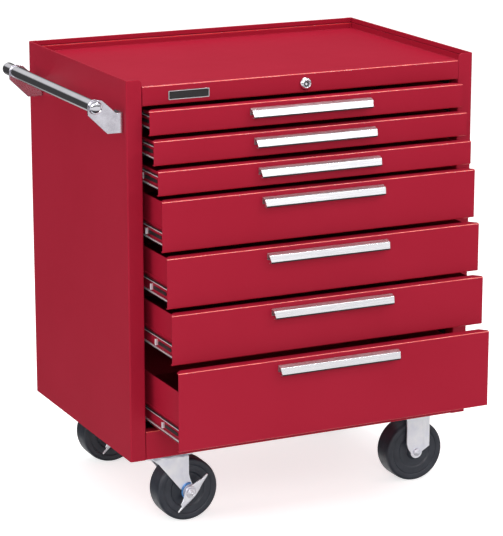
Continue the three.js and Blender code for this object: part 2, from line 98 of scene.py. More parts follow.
def ramp(tree, value, places, shades):
    """Maps a value to shades, each a colour or a grey, at places from 0 to 1."""
    node = tree.nodes.new("ShaderNodeValToRGB")
    stops = node.color_ramp.elements
    while len(stops) < len(places):
        stops.new(0.5)
    for stop, place, shade in zip(stops, places, shades):
        stop.position = place
        stop.color = (*shade, 1) if isinstance(shade, tuple) else (shade, shade, shade, 1)
    tree.links.new(value, node.inputs["Fac"])
    return node.outputs["Color"]


# The part of a noise pattern's range that is used.
SPREAD = (0.3, 0.7)


def finish(name, dark, light, cloud, haze, gloss, spread=SPREAD, metal=0.0, specular=0.5,
           grain=None, relief=None):
    """A finish whose colour clouds between dark and light and whose roughness spans gloss.

    cloud, haze and grain are the noises behind its colour, roughness and relief, each given as
    cycles per metre, detail and, on drawn or rolled metal, a stretch. relief is the grain's
    strength and its depth in metres.
    """
    material, tree, shader = new_material(name)
    shade = ramp(tree, noise(tree, *cloud), spread, (dark, light))
    tree.links.new(shade, shader.inputs["Base Color"])
    tree.links.new(ramp(tree, noise(tree, *haze), SPREAD, gloss), shader.inputs["Roughness"])
    shader.inputs["Metallic"].default_value = metal
    shader.inputs["Specular IOR Level"].default_value = specular
    if grain:
        bump = tree.nodes.new("ShaderNodeBump")
        bump.inputs["Strength"].default_value = relief[0]
        bump.inputs["Distance"].default_value = relief[1]
        tree.links.new(noise(tree, *grain), bump.inputs["Height"])
        tree.links.new(bump.outputs["Normal"], shader.inputs["Normal"])
    return material


# Smooth baked enamel: nearly even red with faint orange peel and cloudy gloss.
RED = finish("red_enamel", (0.345, 0.0095, 0.0285), (0.362, 0.0112, 0.032),
             cloud=(5, 4), haze=(22, 5), gloss=(0.385, 0.41), specular=0.09,
             grain=(420, 2), relief=(0.012, 0.0003))


def painted_highlight_enamel(name, dark, light):
    """Glossy enamel on a sharp bend, coloured lighter than the red: a painted highlight over its real
    reflection, so the bend reads as a bright line.
    """
    return finish(name, dark, light, cloud=(55, 4), spread=(0.35, 0.65), haze=(40, 3),
                  gloss=(0.16, 0.26), specular=0.9)


# The red, then a salmon painted highlight for the bends' crests and a brighter red painted highlight
# for the folds.
RED_AND_PAINTED_HIGHLIGHTS = [RED, painted_highlight_enamel("red_enamel_crest_painted_highlight", (0.66, 0.13, 0.11), (0.92, 0.34, 0.24)),
        painted_highlight_enamel("red_enamel_fold_painted_highlight", (0.52, 0.016, 0.028), (0.66, 0.030, 0.040))]

# The painted highlight enamels' numbers in the red list, which are face material numbers too.
CREST_HIGHLIGHT, FOLD_HIGHLIGHT = 1, 2

# Bright zinc plate: cool white, clouded, with faint rolling lines.
ZINC = finish("plated_zinc", (0.84, 0.85, 0.93), (0.96, 0.96, 0.99),
              cloud=(38, 4), spread=(0.35, 0.65), haze=(90, 4), gloss=(0.28, 0.38), metal=0.6,
              grain=(300, 2, (0.15, 1, 1)), relief=(0.02, 0.0002))

# Bright satin plating on pressed brackets.
SATIN = finish("satin_plate", (0.60, 0.58, 0.64), (0.74, 0.72, 0.79),
               cloud=(60, 2), spread=(0.32, 0.68), haze=(45, 2), gloss=(0.15, 0.19), metal=0.9)

# Mirror chrome with a faint haze.
CHROME = finish("bright_chrome", (0.77, 0.76, 0.82), (0.86, 0.85, 0.90),
                cloud=(30, 3), haze=(90, 6), gloss=(0.05, 0.13), metal=1.0)

# Satin anodised extrusion with fine die lines along its length.
ALUMINIUM = finish("bright_aluminium", (0.68, 0.68, 0.71), (0.76, 0.75, 0.77),
                   cloud=(500, 4, (0.01, 1, 1)), haze=(700, 4, (0.02, 1, 1)),
                   gloss=(0.22, 0.32), metal=0.9,
                   grain=(900, 3, (0.01, 1, 1)), relief=(0.04, 0.0002))

# Moulded hard rubber: blue-black, satin and finely grained.
RUBBER = finish("wheel_compound", (0.022, 0.026, 0.037), (0.036, 0.041, 0.055),
                cloud=(45, 5), haze=(120, 4), gloss=(0.34, 0.50),
                grain=(1600, 4), relief=(0.12, 0.0003))

# Thin satin black on the hidden steel, also used as painted shade on the pulls' lips, the slides and
# the lock's face.
BLACK_AND_PAINTED_SHADE = finish("black_enamel_and_painted_shade", (0.010, 0.010, 0.011), (0.020, 0.020, 0.022),
               cloud=(35, 4), haze=(150, 3), gloss=(0.45, 0.6),
               grain=(800, 2), relief=(0.05, 0.0003))

# Gloss black of the blank badge.
BADGE = finish("badge_black", (0.006, 0.006, 0.007), (0.012, 0.012, 0.013),
               cloud=(300, 3), haze=(200, 4), gloss=(0.14, 0.24))

# Spring steel with a blue plating.
BLUE = finish("blued_spring", (0.05, 0.19, 0.50), (0.14, 0.36, 0.72),
              cloud=(200, 3), haze=(300, 3), gloss=(0.25, 0.4), metal=1.0)


# ---------- outlines ----------


# Share of a side that one corner's rounding may take, and the half angle past which a corner is
# straight enough to be left alone.
MOST_OF_SIDE = 0.49
NEARLY_STRAIGHT = math.radians(89)


def arc(centre, radius, start, end, steps):
    """Points on an arc, angles in degrees."""
    points = []
    for step in range(steps + 1):
        angle = math.radians(start + (end - start) * step / steps)
        points.append((centre[0] + radius * math.cos(angle), centre[1] + radius * math.sin(angle)))
    return points


def fillet(points, radius, steps=4, closed=False):
    """Rounds the corners of an outline; radius is one number or one for each corner."""
    count = len(points)
    made = []
    for index, point in enumerate(points):
        corner = Vector(point)
        size = radius[index] if isinstance(radius, list) else radius
        at_end = not closed and index in (0, count - 1)
        if at_end or size <= 0:
            made.append(tuple(corner))
            continue
        back = Vector(points[index - 1]) - corner
        ahead = Vector(points[(index + 1) % count]) - corner
        half = back.angle(ahead) / 2
        if half > NEARLY_STRAIGHT:
            made.append(tuple(corner))
            continue
        reach = min(size / math.tan(half), back.length * MOST_OF_SIDE, ahead.length * MOST_OF_SIDE)
        true_radius = reach * math.tan(half)
        heart = corner + (back.normalized() + ahead.normalized()).normalized() * (
            true_radius / math.sin(half))
        first = corner + back.normalized() * reach - heart
        last = corner + ahead.normalized() * reach - heart
        turn = first.angle_signed(last)
        for step in range(steps + 1):
            bearing = -turn * step / steps
            spun = Vector((first.x * math.cos(bearing) - first.y * math.sin(bearing),
                           first.x * math.sin(bearing) + first.y * math.cos(bearing)))
            made.append(tuple(heart + spun))
    return made


def rectangle(half_u, half_v, radius, steps=4):
    """A rounded rectangle about the origin."""
    corners = [(-half_u, -half_v), (half_u, -half_v), (half_u, half_v), (-half_u, half_v)]
    return fillet(corners, radius, steps, True)


def offset(path, distance):
    """An open path moved to its right-hand side by a distance, with mitred corners."""
    points = [Vector(p) for p in path]
    moved = []
    for index, point in enumerate(points):
        sides = []
        if index > 0:
            sides.append((point - points[index - 1]).normalized())
        if index < len(points) - 1:
            sides.append((points[index + 1] - point).normalized())
        normals = [Vector((side.y, -side.x)) for side in sides]
        mean = sum(normals, Vector((0, 0))).normalized()
        moved.append(tuple(point + mean * (distance / mean.dot(normals[0]))))
    return moved


def strip_section(path, thickness):
    """The closed section of a sheet bent along a path, thickness to the path's right."""
    return list(path) + list(reversed(offset(path, thickness)))


# ---------- meshes ----------


# Sheet bends and most outlines' corners are built from this many steps.
BEND_STEPS = 6

# Angle in degrees past which an edge is sharp, and its rounding's number of segments.
SHARP = 35
EDGE_SEGMENTS = 2

# Distance in metres within which a piece's points are one point.
WELD = 0.000002


class Shape:
    """Points, faces and each face's material number for one piece, in millimetres."""

    def __init__(self):
        self.points = []
        self.faces = []
        self.slots = []

    def add(self, points, faces, slot=0, own=None):
        base = len(self.points)
        self.points.extend(tuple(p) for p in points)
        self.faces.extend(tuple(base + i for i in face) for face in faces)
        self.slots.extend((own or {}).get(index, slot) for index in range(len(faces)))

    def loft(self, loops, slot=0, ring=False, bands=None):
        """A closed skin over loops of equal length; ring joins the last loop to the first.

        bands gives some columns of faces a material number of their own.
        """
        count = len(loops[0])
        rows = len(loops)
        faces = []
        own = {}
        for row in range(rows if ring else rows - 1):
            here = row * count
            there = (row + 1) % rows * count
            for i in range(count):
                j = (i + 1) % count
                faces.append((here + i, here + j, there + j, there + i))
            for column, number in (bands or {}).items():
                own[here + column] = number
        if not ring:
            faces.append(tuple(reversed(range(count))))
            faces.append(tuple((rows - 1) * count + i for i in range(count)))
        self.add([p for loop in loops for p in loop], faces, slot, own)

    def along_x(self, section, stations, bands=None):
        self.loft([[(x, u, v) for u, v in section] for x in stations], bands=bands)

    def along_y(self, section, stations):
        self.loft([[(u, y, v) for u, v in section] for y in stations])

    def along_z(self, section, stations, slot=0):
        self.loft([[(u, v, z) for u, v in section] for z in stations], slot)

    def lathe(self, profile, centre, axis, sides=64, slot=0, ring=False):
        """A body turned about an axis through centre: profile points are (radius, along)."""
        loops = []
        for radius, along in profile:
            loop = []
            for side in range(sides):
                angle = 2 * math.pi * side / sides
                u, v = radius * math.cos(angle), radius * math.sin(angle)
                local = (u, along, v) if axis == "y" else (u, v, along)
                loop.append(tuple(Vector(centre) + Vector(local)))
            loops.append(loop)
        self.loft(loops, slot, ring)

    def plate(self, outline, holes, thickness, place, edge=0.5, slot=0):
        """A flat plate with rounded edges and holes; place turns (u, v, w) into a point.

        u and v lie in the plate and w runs through it, from its middle.
        """
        curve = bpy.data.curves.new("plate", "CURVE")
        curve.dimensions = "2D"
        curve.fill_mode = "BOTH"
        curve.extrude = thickness / 2 - edge
        curve.bevel_depth = edge
        curve.bevel_resolution = EDGE_SEGMENTS
        curve.offset = -edge
        for loop in [outline, *holes]:
            spline = curve.splines.new("POLY")
            spline.points.add(len(loop) - 1)
            for point, (u, v) in zip(spline.points, loop):
                point.co = (u, v, 0, 1)
            spline.use_cyclic_u = True
        carrier = bpy.data.objects.new("plate", curve)
        bpy.context.scene.collection.objects.link(carrier)
        graph = bpy.context.evaluated_depsgraph_get()
        mesh = bpy.data.meshes.new_from_object(carrier.evaluated_get(graph))
        points = [place(*v.co) for v in mesh.vertices]
        self.add(points, [tuple(p.vertices) for p in mesh.polygons], slot)
        bpy.data.objects.remove(carrier)
        bpy.data.curves.remove(curve)
        bpy.data.meshes.remove(mesh)

    def block(self, low, high, slot=0):
        section = [(low[0], low[1]), (high[0], low[1]), (high[0], high[1]), (low[0], high[1])]
        self.along_z(section, (low[2], high[2]), slot)

    def mirror(self):
        self.points = [(-x, y, z) for x, y, z in self.points]

    def piece(self, name, body, record_slot, materials, replaces=(), edge=0.0, angle=SHARP):
        """Makes the Blender object, rides it on its body and rounds its sharp edges."""
        mesh = bpy.data.meshes.new(name)
        mesh.from_pydata([CENTRE + Vector(p) * MM for p in self.points], [], self.faces)
        for material in materials:
            mesh.materials.append(material)
        mesh.polygons.foreach_set("material_index", self.slots)
        work = bmesh.new()
        work.from_mesh(mesh)
        bmesh.ops.remove_doubles(work, verts=work.verts, dist=WELD)
        bmesh.ops.recalc_face_normals(work, faces=work.faces)
        work.to_mesh(mesh)
        work.free()
        mesh.polygons.foreach_set("use_smooth", [True] * len(mesh.polygons))
        mesh.set_sharp_from_angle(angle=math.radians(angle))
        obj = bpy.data.objects.new(name, mesh)
        bpy.context.scene.collection.objects.link(obj)
        if edge:
            round_edges(obj, edge, angle)
        even = obj.modifiers.new("even", "WEIGHTED_NORMAL")
        even.keep_sharp = True
        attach(obj, body)
        if replaces:
            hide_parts(*replaces)
        return obj


def round_edges(obj, width, angle=SHARP):
    rounding = obj.modifiers.new("edges", "BEVEL")
    rounding.width = width * MM
    rounding.segments = EDGE_SEGMENTS
    rounding.limit_method = "ANGLE"
    rounding.angle_limit = math.radians(angle)
    rounding.harden_normals = True


# For the CAD nodes that stay: the distance in metres within which points are merged, the angle
# within which faces are one flat face, and the rounding of edges.
CAD_WELD = 0.00001
CAD_FLAT = math.radians(1)
CAD_EDGE = 0.35


def dress_cad(node, material):
    """A CAD node that stays: merged flat faces, rounded edges and its real material."""
    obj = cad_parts[node]
    weld = obj.modifiers.new("weld", "WELD")
    weld.merge_threshold = CAD_WELD
    flatten = obj.modifiers.new("flatten", "DECIMATE")
    flatten.decimate_type = "DISSOLVE"
    flatten.angle_limit = CAD_FLAT
    round_edges(obj, CAD_EDGE)
    obj.data.materials.clear()
    obj.data.materials.append(material)


# Thickness, outer bend radius and edge rounding of the painted sheet.
SHEET = 1.5
BEND = 3.0
SHEET_EDGE = 0.35

# Keeps faces of two sheets that lie on each other from coinciding.
LIFT = 0.02

# A sheet folded twice in a C: the face columns at the middle of its lower and upper bends, painted as
# highlights.
C_HIGHLIGHT_BANDS = {2: FOLD_HIGHLIGHT, 3: FOLD_HIGHLIGHT, 4: FOLD_HIGHLIGHT, 9: FOLD_HIGHLIGHT, 10: CREST_HIGHLIGHT, 11: FOLD_HIGHLIGHT}

# ---------- carcass ----------

header_lo, header_hi = where("header_rail")
tray_lo, tray_hi = where("top_tray")
pan_lo, pan_hi = where("bottom_pan")
panel_lo, panel_hi = where("right_side_panel")

FRONT = panel_lo.y
BACK = panel_hi.y
RIM = panel_hi.z
BASE = panel_lo.z
HALF = panel_hi.x
HEADER_TOP = header_hi.z
HEADER_LOW = header_lo.z

# The posts' inner edge, just clear of the header rail's ends.
POST_END = header_hi.x + 0.3

# Rounding of the posts' top inner corner, and the points that draw it.
POST_ROUND = 10
POST_STEPS = 8

# Depths of the jamb and of the flange over the back panel.
JAMB = 26
BACK_FLANGE = 16

# How far a hem folds down, and how much its cut edge slants.
HEM = 9
HEM_SLANT = 0.6


def post_top(x):
    """Height of the post's rounded top corner at a distance from the centre line."""
    run = POST_END + POST_ROUND - x
    if run <= 0:
        return RIM
    drop = POST_ROUND - math.sqrt(max(POST_ROUND ** 2 - run ** 2, 0))
    return RIM - drop


def hem(outer, top, way):
    """A sheet's upright edge folded down on itself: from its outer face over the top and back.

    way is the direction from the outer face into the sheet, 1 or -1.
    """
    points = [(outer, top - SHEET)]
    points += [(outer + way * u, v) for u, v in
               arc((SHEET, top - SHEET), SHEET, 180, 0, BEND_STEPS)[1:]]
    points += [(outer + way * 2 * SHEET, top - HEM), (outer + way * SHEET, top - HEM - HEM_SLANT)]
    return points


def side_panel(side):
    """One sheet in plan: jamb, post, outer wall and back flange, with a hemmed rim."""
    corners = [(POST_END, FRONT + JAMB), (POST_END, FRONT), (HALF, FRONT), (HALF, BACK),
               (HALF - BACK_FLANGE, BACK)]
    path = fillet(corners, BEND, BEND_STEPS)
    inward = [Vector(q) - Vector(p) for p, q in zip(path, offset(path, -1.0))]
    bend_start = 1
    bend_end = bend_start + BEND_STEPS
    stations = []
    for index, (point, way) in enumerate(zip(path, inward)):
        on_jamb = index <= bend_start
        stations.append((point, way, HEADER_LOW if on_jamb else post_top(point[0])))
        if index == bend_start:
            stations.append((point, way, post_top(point[0])))
        if index == bend_end:
            for step in range(1, POST_STEPS + 1):
                x = POST_END + BEND + (POST_ROUND - BEND) * step / POST_STEPS
                stations.append(((x, FRONT), inward[bend_end + 1], post_top(x)))
    shape = Shape()
    loops = []
    for point, way, top in stations:
        ring = [(0, BASE), *hem(0, top, 1), (SHEET, BASE)]
        loops.append([(point[0] + way.x * n, point[1] + way.y * n, z) for n, z in ring])
    shape.loft(loops)
    if side < 0:
        shape.mirror()
    name = "left_side_panel" if side < 0 else "right_side_panel"
    shape.piece(f"{name}_formed", "cabinet", "red_paint", [RED], [name], edge=SHEET_EDGE)


for side in (-1, 1):
    side_panel(side)


def rivet(shape, centre):
    """A low domed rivet head on a face that looks along +Y."""
    radius, rise = 3.2, 1.2
    profile = [(radius, -0.2), (radius, 0.25)]
    profile += [(radius * math.cos(a), rise * math.sin(a)) for a in (0.5, 0.9, 1.3)]
    shape.lathe(profile, centre, "y", 20)


def back_panel():
    """Hemmed sheet between the side panels' flanges, riveted down both sides and along the base."""
    low, high = where("back_panel")
    outer = high.y
    section = [(outer, low.z), *hem(outer, high.z, -1), (outer - SHEET, low.z)]
    shape = Shape()
    width = high.x - SHEET
    shape.along_x(section, (-width, width))
    gaps, from_side, from_base = 8, 8, 14
    corner_z, corner_x = 40, 60
    for side in (-1, 1):
        for step in range(gaps + 1):
            z = low.z + corner_z + step * (high.z - low.z - 2 * corner_z) / gaps
            rivet(shape, (side * (width - from_side), outer, z))
    for step in range(gaps + 1):
        x = (width - corner_x) * (2 * step / gaps - 1)
        rivet(shape, (x, outer, low.z + from_base))
    shape.piece("back_panel_formed", "cabinet", "red_paint", [RED], ["back_panel"],
                edge=SHEET_EDGE)


back_panel()

# A pan's walls: steps in their bends, how far each lies over the floor, and how far it stops short
# of the pan's sides.
PAN_STEPS = 5
PAN_LAP = 12
PAN_INSET = 1

# Height of the painted highlight along the top of a pan's rear wall, and its face columns.
LIP_HIGHLIGHT_HEIGHT = 2.0
LIP_HIGHLIGHT_BANDS = {8: FOLD_HIGHLIGHT, 9: FOLD_HIGHLIGHT}


def open_pan(low, high, edge_high, front_high):
    """A pan bent up on four sides: one sheet for the floor and side walls, one for each end."""
    shape = Shape()
    floor = low.z
    span = [(high.x, edge_high), (high.x, floor), (low.x, floor), (low.x, edge_high)]
    shape.along_y(strip_section(fillet(span, BEND, PAN_STEPS), SHEET),
                  (low.y + SHEET, high.y - SHEET))
    ends = (low.x + PAN_INSET, high.x - PAN_INSET)
    lap = floor + LIFT
    rear = [(high.y - PAN_LAP, lap), (high.y, lap), (high.y, edge_high - LIP_HIGHLIGHT_HEIGHT),
            (high.y, edge_high)]
    # The rear wall's top strip is painted lighter as a highlight.
    shape.along_x(strip_section(fillet(rear, BEND, PAN_STEPS), -SHEET), ends, LIP_HIGHLIGHT_BANDS)
    front = [(low.y + PAN_LAP, lap), (low.y, lap), (low.y, front_high)]
    shape.along_x(strip_section(fillet(front, BEND, PAN_STEPS), SHEET), ends)
    return shape


# The tray's front wall stops this far under the header rail's top sheet.
TRAY_CLEAR = 0.4

tray = open_pan(tray_lo, tray_hi, tray_hi.z, HEADER_TOP - SHEET - TRAY_CLEAR)
tray.piece("top_tray_formed", "cabinet", "red_paint", RED_AND_PAINTED_HIGHLIGHTS, ["top_tray"], edge=SHEET_EDGE)


def header_rail():
    """The rail over the drawers: a sheet bent back along its lower and upper edges."""
    path = [(header_hi.y, HEADER_LOW), (FRONT, HEADER_LOW), (FRONT, HEADER_TOP),
            (header_hi.y, HEADER_TOP)]
    shape = Shape()
    section = strip_section(fillet(path, BEND, BEND_STEPS), SHEET)
    # The middles of both bends are painted lighter as highlights.
    shape.along_x(section, (header_lo.x, header_hi.x), C_HIGHLIGHT_BANDS)
    shape.piece("header_rail_formed", "cabinet", "red_paint", RED_AND_PAINTED_HIGHLIGHTS, ["header_rail"],
                edge=SHEET_EDGE)


header_rail()


def bottom_pan():
    """Floor pan with pressed stiffening beads, and the front rail bent over at both edges."""
    wall, gap_to_rail = 26, 0.3
    low = Vector((pan_lo.x, FRONT + SHEET + gap_to_rail, pan_lo.z))
    shape = open_pan(low, pan_hi, BASE + wall, BASE + wall)
    low_return, top_return = 24, 20
    rail = [(FRONT + low_return, BASE), (FRONT, BASE), (FRONT, pan_hi.z),
            (FRONT + top_return, pan_hi.z)]
    section = strip_section(fillet(rail, BEND, BEND_STEPS), SHEET)
    # The middles of the rail's bends are painted lighter as highlights.
    shape.along_x(section, (header_lo.x, header_hi.x), C_HIGHLIGHT_BANDS)
    foot, top, short_of_wall = BASE + 1.2, BASE + 6, 60
    for x in (-90, 0, 90):
        bead = [(x - 9, foot), (x - 4, top), (x + 4, top), (x + 9, foot)]
        shape.along_y(fillet(bead, 2.5), (FRONT + short_of_wall, BACK - short_of_wall))
    shape.piece("bottom_pan_formed", "cabinet", "red_paint", RED_AND_PAINTED_HIGHLIGHTS, ["bottom_pan"],
                edge=SHEET_EDGE)


bottom_pan()

for liner in ("left_slide_liner", "right_slide_liner", "lock_bar"):
    dress_cad(liner, BLACK_AND_PAINTED_SHADE)

# ---------- drawers ----------

# The front's bend radius, its returns' depth, and the mitre that cuts them back at both ends.
FACE_BEND = 2.6
FACE_RETURN = 20
MITRE_RETURN = 7
MITRE_RUN = 12

# The box: half its width, just inside the slides, its floor's height over the front's lower edge, the
# catch's reach behind its back, and its walls' drop below the front, deeper on the last drawer.
BOX_HALF = where("drawer_1_slide_right")[0].x - 0.3
FLOOR_RISE = 5
CATCH = 26
WALL_DROP = 6
DEEP_WALL_DROP = 45

# The bead pressed in a side wall that rises far enough over the slide, as (out from the wall, above
# the slide's middle).
WALL_BEAD = [(0, 21), (1.8, 19), (1.8, 17.5), (0, 15.5)]
BEAD_NEEDS = 30
BEAD_ROUND = 0.8


def drawer_front(shape, low, high):
    """The formed front: returns top and bottom, mitred back at both ends."""
    loops = []
    for x, back in ((low.x, MITRE_RETURN), (low.x + MITRE_RUN, FACE_RETURN),
                    (high.x - MITRE_RUN, FACE_RETURN), (high.x, MITRE_RETURN)):
        path = [(low.y + back, low.z), (low.y, low.z), (low.y, high.z), (low.y + back, high.z)]
        section = strip_section(fillet(path, FACE_BEND, BEND_STEPS), SHEET)
        loops.append([(x, u, v) for u, v in section])
    # The middles of the top and bottom bends are painted lighter as highlights.
    shape.loft(loops, bands=C_HIGHLIGHT_BANDS)


def drawer_walls(shape, low, high, wall_top, slide_z):
    """Floor and sides as one bent sheet, the back wall, and the catch behind it."""
    floor = low.z + FLOOR_RISE
    right = [(BOX_HALF, wall_top)]
    if wall_top - slide_z > BEAD_NEEDS:
        right += [(BOX_HALF + out, slide_z + rise) for out, rise in WALL_BEAD]
    right.append((BOX_HALF, floor))
    left = [(-x, z) for x, z in reversed(right)]
    radii = [BEAD_ROUND] * (len(right) - 1) + [BEND]
    path = fillet(right + left, radii + list(reversed(radii)))
    back = high.y - CATCH
    shape.along_y(strip_section(path, SHEET), (low.y + SHEET, back))
    inner = BOX_HALF - SHEET + 0.2
    shape.block((-inner, back - SHEET, floor + 0.5), (inner, back - 0.01, wall_top - 0.01))
    catch_half, catch_low, catch_top = 12, slide_z - 6.8, slide_z + 2
    catch = [(back - 0.5, catch_low), (high.y, catch_low), (high.y, catch_top)]
    shape.along_x(strip_section(fillet(catch, 1.6), -SHEET), (-catch_half, catch_half))


def pull_handle(number):
    """Hooked extrusion: leaf on the front, flange and slanted lip, its rolled lower edge painted
    black as shade.
    """
    name = f"drawer_{number}_pull"
    low, high = where(name)
    wall, leaf, lip_trim = 1.6, 14, 2.4
    # Painted shade: the lip's rolled lower edge is black to stand for the shadow under the lip.
    painted_shade_strip = {column: 1 for column in range(17, 28)}
    bend_y, bend_z = high.y - 11, high.z - 4
    path = [(high.y, high.z - leaf), (high.y, high.z), (bend_y, bend_z),
            (low.y, low.z + 3.1), (low.y + 0.7, low.z + 0.3), (low.y + 5.4, low.z)]
    section = strip_section(fillet(path, [0, 1.2, 2.2, 0.6, 0.8, 0], BEND_STEPS), -wall)
    shape = Shape()
    loops = []
    for end, reach in ((-1, -low.x), (1, high.x)):
        loop = []
        for u, v in section:
            down = min(max((bend_z - v) / (bend_z - low.z), 0), 1) if u < bend_y else 0
            loop.append((end * (reach - lip_trim * down), u, v))
        loops.append(loop)
    shape.loft(loops, bands=painted_shade_strip)
    shape.piece(f"{name}_extrusion", f"drawer_{number}", "pull_aluminium", [ALUMINIUM, BLACK_AND_PAINTED_SHADE],
                [name], edge=0.3)


def slide_member(number, side):
    """Ball-slide member: zinc channel, painted web, black slot, bright stop tab, and black strips
    along the flanges painted as shade.
    """
    hand = "left" if side < 0 else "right"
    name = f"drawer_{number}_slide_{hand}"
    low, high = where(f"drawer_{number}_slide_right")
    web, rim = low.x, high.x
    z = (low.z + high.z) / 2
    tall = z - low.z
    wall = 1.1
    painted, dark = 1, 2
    upper, lower = web + 4.4, web + 6.4
    edge = tall - wall
    path = [(upper, z + edge - 1.8), (upper, z + edge), (web, z + edge), (web, z - edge),
            (lower, z - edge), (lower, z - edge + 3.0)]
    shape = Shape()
    section = strip_section(fillet(path, [0, 1.2, 1.2, 1.2, 1.6, 0], 5), -wall)
    shape.along_y(section, (low.y, high.y))
    shape.block((web + wall, low.y + 2, z - edge + 1.5),
                (web + wall + 0.8, high.y - 2, z + edge - 1.5), painted)
    # Painted shade: thin black strips over the upper flange and under the lower one stand for the
    # shadow lines along the rails.
    for reach, bottom in ((upper, z + edge + LIFT), (lower, z - tall)):
        shape.block((web + 0.2, low.y + 0.5, bottom), (reach - 0.3, high.y - 1, bottom + 1.06), dark)
    slot_x, slot_y = web + 2.5, low.y + 42
    shape.plate(rectangle(30, 3.4, 3, 5), [], 1.6,
                lambda u, v, w: (slot_x + w, slot_y + u, z + v), 0.3, dark)
    tab_y, tab_half = low.y + 76, 6
    tab = [(web + 1.5, tab_y), (rim - 1.0, tab_y), (rim - 1.0, tab_y + 3)]
    shape.along_z(strip_section(fillet(tab, 1.2), -1.0), (z - tab_half, z + tab_half))
    if side < 0:
        shape.mirror()
    shape.piece(f"{name}_formed", f"drawer_{number}", "zinc_plate", [ZINC, RED, BLACK_AND_PAINTED_SHADE], [name],
                edge=0.25)


DRAWERS = 7


def drawer(number):
    """One drawer: its front and box as one shell, its pull and its two slide members."""
    name = f"drawer_{number}_box"
    low, high = where(name)
    slide_z = middle(f"drawer_{number}_slide_right").z
    wall_drop = DEEP_WALL_DROP if number == DRAWERS else WALL_DROP
    shape = Shape()
    drawer_front(shape, low, high)
    drawer_walls(shape, low, high, high.z - wall_drop, slide_z)
    shape.piece(f"drawer_{number}_shell", f"drawer_{number}", "red_paint", RED_AND_PAINTED_HIGHLIGHTS, [name], edge=0.3)
    pull_handle(number)
    for side in (-1, 1):
        slide_member(number, side)


for number in range(1, DRAWERS + 1):
    drawer(number)

# ---------- lock and badge ----------


def lock():
    """Stepped ring with its barrel, and the turning plug with its cam and cam pin; a black ring and a
    black key slot on the plug's face are painted shade.
    """
    low, high = where("lock_body")
    centre = axis_of("lock_body")
    ring = half_size("lock_body").x
    face = low.y
    barrel, bore, seat = 8, 6.1, FRONT - 0.3
    profile = [(bore, face + 1.6), (bore + 0.5, face + 0.5), (bore + 1.3, face),
               (ring - 4.2, face + 0.15), (ring - 3.0, face + 0.7), (ring - 1.8, face + 1.7),
               (ring - 0.8, face + 3.0), (ring - 0.2, face + 4.6), (ring, face + 6.2),
               (ring, seat), (barrel, seat), (barrel, high.y), (bore, high.y)]
    body = Shape()
    body.lathe(profile, centre, "y", 72, ring=True)
    body.piece("lock_body_turned", "cabinet", "chrome", [CHROME], ["lock_body"], edge=0.15)
    face = where("lock_plug")[0].y
    disc = high.y + 0.3
    dark = 1
    front = (centre[0], face, centre[2])
    sleeve_end = disc + 0.1 - face
    plug = Shape()
    plug.lathe([(0.4, -0.3), (2.0, -0.2), (2.6, 0.3), (2.6, 4)], front, "y", 48)
    plug.lathe([(5.0, 4.4), (5.0, 0.3), (5.2, 0), (5.6, 0), (5.8, 0.4), (5.8, sleeve_end),
                (4.0, sleeve_end), (4.0, 4.4)], front, "y", 48, ring=True)
    # Painted shade: a black ring set in the plug's face and a black notch for its key slot.
    plug.lathe([(4.9, 4.3), (4.9, 0.8), (2.7, 0.8), (2.7, 4.3)], front, "y", 48, dark, True)
    notch = fillet([(-1.0, 4.1), (1.0, 4.1), (1.0, 5.3), (-1.0, 5.3)], 0.3, 3, True)
    plug.plate(notch, [], 0.4, lambda u, v, w: (centre[0] + u, face - 0.1 + w, centre[2] + v),
               0.1, dark)
    cam = fillet([(-6, -6), (10, -4), (14, -2.5), (14, 2.5), (10, 4), (-6, 6)], 3, 5, True)
    cam_sheet, pin_out = 2.5, 10
    plug.plate(cam, [], cam_sheet,
               lambda u, v, w: (centre[0] + u, disc + cam_sheet / 2 + w, centre[2] + v), 0.4)
    plug.lathe([(1.2, 1.5), (2.0, 1.9), (2.0, 10), (1.2, 10.4)],
               (centre[0] + pin_out, disc, centre[2]), "y", 24)
    plug.piece("lock_plug_turned", "lock_plug", "chrome", [CHROME, BLACK_AND_PAINTED_SHADE], ["lock_plug"])


lock()


def badge():
    """A blank black plate in a thin bright frame."""
    low, high = where("badge_plate")
    mid = middle("badge_plate")
    half = half_size("badge_plate")
    frame_width, bright = 1.3, 1
    outline = rectangle(half.x, half.z, 1.5)
    window = rectangle(half.x - frame_width, half.z - frame_width, 1.0)
    shape = Shape()
    shape.plate(outline, [], 0.9,
                lambda u, v, w: (mid.x + u, high.y - 0.45 + w, mid.z + v), 0.2)
    shape.plate(outline, [window], 0.5,
                lambda u, v, w: (mid.x + u, low.y + 0.15 + w, mid.z + v), 0.12, bright)
    shape.piece("badge_blank", "cabinet", "badge", [BADGE, ALUMINIUM], ["badge_plate"])


badge()

# ---------- push handle ----------

BAR_RADIUS = 12.5


def push_bar():
    """Chromed tube with a stepped end plug at the front and a pressed cap at the rear."""
    low, high = where("handle_bar")
    front = [(2.0, 0), (7.5, 0.5), (9.6, 1.7), (9.9, 2.4), (10.4, 1.6), (11.6, 1.2), (12.3, 1.8),
             (BAR_RADIUS, 3.0), (BAR_RADIUS, 4.5)]
    rear = [(BAR_RADIUS, -3.0), (BAR_RADIUS, -1.2), (12.2, -0.4), (11.6, 0), (10.2, 0),
            (9.8, -0.5), (2.0, -0.6)]
    profile = [(r, low.y + y) for r, y in front] + [(r, high.y + y) for r, y in rear]
    shape = Shape()
    shape.lathe(profile, axis_of("handle_bar"), "y", 72)
    shape.piece("handle_bar_chromed", "cabinet", "chrome", [CHROME], ["handle_bar"])


push_bar()


def tangent_angle(point, centre, radius, side):
    """Bearing in degrees, from the circle's centre, of the tangent point seen from point."""
    toward = Vector(point) - Vector(centre)
    bearing = math.degrees(math.atan2(toward.y, toward.x))
    return bearing + side * math.degrees(math.acos(radius / toward.length))


